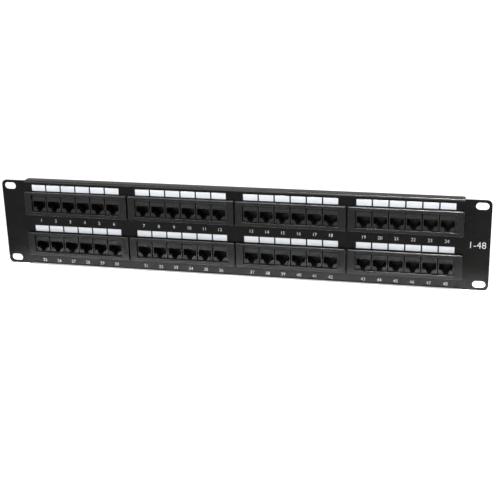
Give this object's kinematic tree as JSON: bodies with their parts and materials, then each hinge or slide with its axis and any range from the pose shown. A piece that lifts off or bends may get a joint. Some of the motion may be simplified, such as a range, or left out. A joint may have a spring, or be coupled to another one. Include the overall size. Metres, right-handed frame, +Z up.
{
  "type": "patch panel",
  "caption": "Two-unit rack patch panel: folded black steel plate with rows of modular jacks in snap-in bezels, printed label fields and numbers, and punch-down blocks on boards behind.",
  "frame": {"origin": "centre of the face plate's rear face, in the plane of the rack rails", "axes": "+X along the panel to the right of someone facing the ports, +Y backwards into the rack, +Z up"},
  "size_m": [0.4826, 0.035, 0.0882],
  "materials": {
    "powder_coated_steel": "fine-textured satin black powder coat",
    "bezel_plastic": "moulded satin black",
    "jack_plastic": "moulded semi-gloss black",
    "contact_gold": "gold-flashed spring wire",
    "circuit_board": "green solder mask over glass laminate",
    "punch_down_plastic": "moulded matt black",
    "screw_steel": "zinc plated",
    "label_white": "white write-on fields, print and numbers"
  },
  "bodies": {
    "root": {"face_plate": "powder_coated_steel", "bezel_1": "bezel_plastic", "jack_row_1": "jack_plastic", "contact_set_1": "contact_gold", "circuit_board_1": "circuit_board", "punch_down_block_1": "punch_down_plastic", "board_screw_1_left": "screw_steel", "board_screw_1_right": "screw_steel", "bezel_2": "bezel_plastic", "jack_row_2": "jack_plastic", "contact_set_2": "contact_gold", "circuit_board_2": "circuit_board", "punch_down_block_2": "punch_down_plastic", "board_screw_2_left": "screw_steel", "board_screw_2_right": "screw_steel", "bezel_3": "bezel_plastic", "jack_row_3": "jack_plastic", "contact_set_3": "contact_gold", "circuit_board_3": "circuit_board", "punch_down_block_3": "punch_down_plastic", "board_screw_3_left": "screw_steel", "board_screw_3_right": "screw_steel", "bezel_4": "bezel_plastic", "jack_row_4": "jack_plastic", "contact_set_4": "contact_gold", "circuit_board_4": "circuit_board", "punch_down_block_4": "punch_down_plastic", "board_screw_4_left": "screw_steel", "board_screw_4_right": "screw_steel", "bezel_5": "bezel_plastic", "jack_row_5": "jack_plastic", "contact_set_5": "contact_gold", "circuit_board_5": "circuit_board", "punch_down_block_5": "punch_down_plastic", "board_screw_5_left": "screw_steel", "board_screw_5_right": "screw_steel", "bezel_6": "bezel_plastic", "jack_row_6": "jack_plastic", "contact_set_6": "contact_gold", "circuit_board_6": "circuit_board", "punch_down_block_6": "punch_down_plastic", "board_screw_6_left": "screw_steel", "board_screw_6_right": "screw_steel", "bezel_7": "bezel_plastic", "jack_row_7": "jack_plastic", "contact_set_7": "contact_gold", "circuit_board_7": "circuit_board", "punch_down_block_7": "punch_down_plastic", "board_screw_7_left": "screw_steel", "board_screw_7_right": "screw_steel", "bezel_8": "bezel_plastic", "jack_row_8": "jack_plastic", "contact_set_8": "contact_gold", "circuit_board_8": "circuit_board", "punch_down_block_8": "punch_down_plastic", "board_screw_8_left": "screw_steel", "board_screw_8_right": "screw_steel"}
  },
  "joints": []
}
